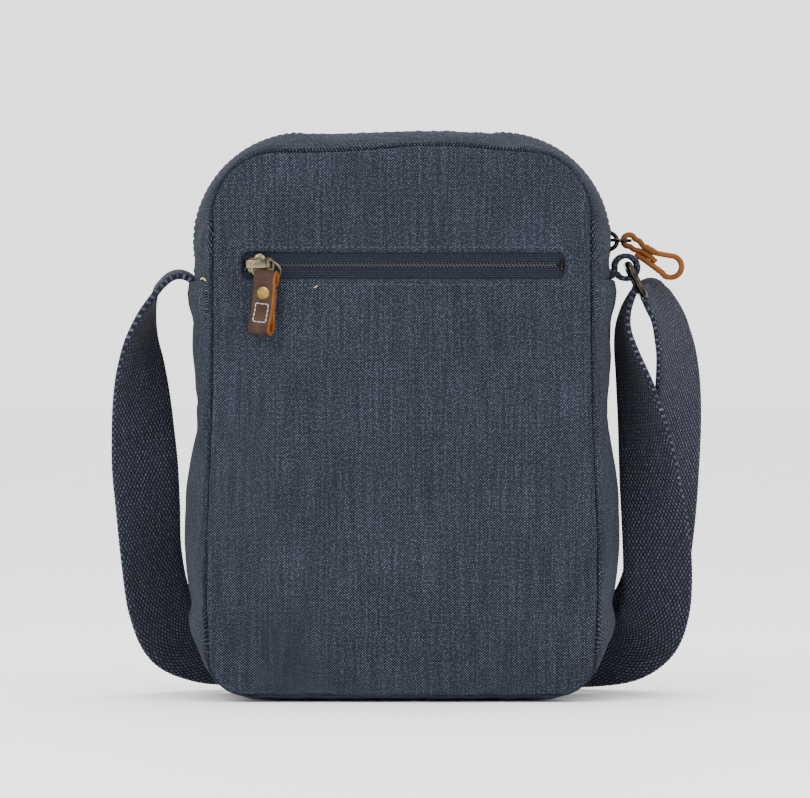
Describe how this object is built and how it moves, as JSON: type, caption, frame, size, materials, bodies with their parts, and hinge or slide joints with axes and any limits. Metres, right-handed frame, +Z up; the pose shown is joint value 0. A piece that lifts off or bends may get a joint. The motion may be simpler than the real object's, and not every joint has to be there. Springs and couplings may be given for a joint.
{
  "type": "messenger bag",
  "caption": "Small upright canvas crossbody bag with rounded corners, zipped main, rear and front pockets, leather zip pulls, and an adjustable webbing shoulder strap lying behind it.",
  "frame": {"origin": "middle of the flat base, on the surface that the bag stands on", "axes": "-Y out of the rear face with the long zip, +X to the side with the ring, +Z up"},
  "size_m": [0.2671, 0.1314, 0.257],
  "materials": {
    "canvas": "washed cotton canvas",
    "webbing": "woven cotton webbing",
    "zip_tape": "ribbed woven tape",
    "zip_coil": "coil",
    "brass": "antique, burnished",
    "leather": "oiled, raw edges",
    "lining": "plain cotton lining"
  },
  "bodies": {
    "bag": {"back_panel": "canvas", "front_panel": "canvas", "lower_gusset": "canvas", "top_gusset_back": "canvas", "top_gusset_front": "canvas", "main_tape_back": "zip_tape", "main_tape_front": "zip_tape", "main_coil_back": "zip_coil", "main_coil_front": "zip_coil", "main_zip_stops": "brass", "strap_tab_left": "canvas", "strap_tab_right": "canvas", "strap_anchor_left": "webbing", "ring_loop": "canvas", "strap_ring": "brass", "strap_wrap_right": "webbing", "rear_tape_upper": "zip_tape", "rear_tape_lower": "zip_tape", "rear_coil": "zip_coil", "rear_zip_stops": "brass", "rear_pouch": "lining", "lining_back": "lining", "lining_front": "lining", "lining_gusset": "lining", "inner_slip_pocket": "lining", "front_pocket": "canvas", "front_tape_upper": "zip_tape", "front_tape_lower": "zip_tape", "front_coil": "zip_coil", "front_zip_stops": "brass"},
    "main_slider": {"main_slider": "brass"},
    "main_pull": {"main_link": "brass", "main_pull": "leather", "main_pull_rivet": "brass"},
    "rear_slider": {"rear_slider": "brass"},
    "rear_pull": {"rear_link": "brass", "rear_pull": "leather", "rear_pull_rivet": "brass"},
    "front_slider": {"front_slider": "brass"},
    "front_pull": {"front_link": "brass", "front_pull": "leather", "front_pull_rivet": "brass"},
    "strap": {"strap_leg_left": "webbing", "strap_take_up_left": "webbing", "strap_take_up_right": "webbing", "strap_leg_right_front": "webbing", "strap_leg_right_rear": "webbing", "strap_end_take_up": "webbing"},
    "adjuster": {"adjuster_frame": "brass", "adjuster_weave": "webbing", "strap_end_loop": "webbing"}
  },
  "joints": [
    {"name": "strap_swing", "type": "hinge", "parent": "bag", "child": "strap", "pos_m": [0, 0, 0.19], "axis": [1, 0, 0], "range_deg": [0, 160]},
    {"name": "adjuster_slide", "type": "slide", "parent": "strap", "child": "adjuster", "axis": [1, 0, 0], "range_m": [-0.012, 0.012], "deforming": ["strap_take_up_left", "strap_take_up_right", "strap_end_take_up"]},
    {"name": "main_zip", "type": "hinge", "parent": "bag", "child": "main_slider", "pos_m": [0.043, 0, 0.207], "axis": [0, -1, 0], "range_deg": [0, 88]},
    {"name": "main_pull_swing", "type": "hinge", "parent": "main_slider", "child": "main_pull", "pos_m": [0.0959, 0, 0.2085], "axis": [0, -1, 0], "range_deg": [0, 60]},
    {"name": "rear_zip", "type": "slide", "parent": "bag", "child": "rear_slider", "axis": [1, 0, 0], "range_m": [0, 0.128]},
    {"name": "rear_pull_swing", "type": "hinge", "parent": "rear_slider", "child": "rear_pull", "pos_m": [-0.062, -0.0393, 0.1976], "axis": [-1, 0, 0], "range_deg": [0, 120]},
    {"name": "front_zip", "type": "slide", "parent": "bag", "child": "front_slider", "axis": [-1, 0, 0], "range_m": [0, 0.1]},
    {"name": "front_pull_swing", "type": "hinge", "parent": "front_slider", "child": "front_pull", "pos_m": [0.0485, 0.0483, 0.1366], "axis": [1, 0, 0], "range_deg": [0, 120]}
  ]
}
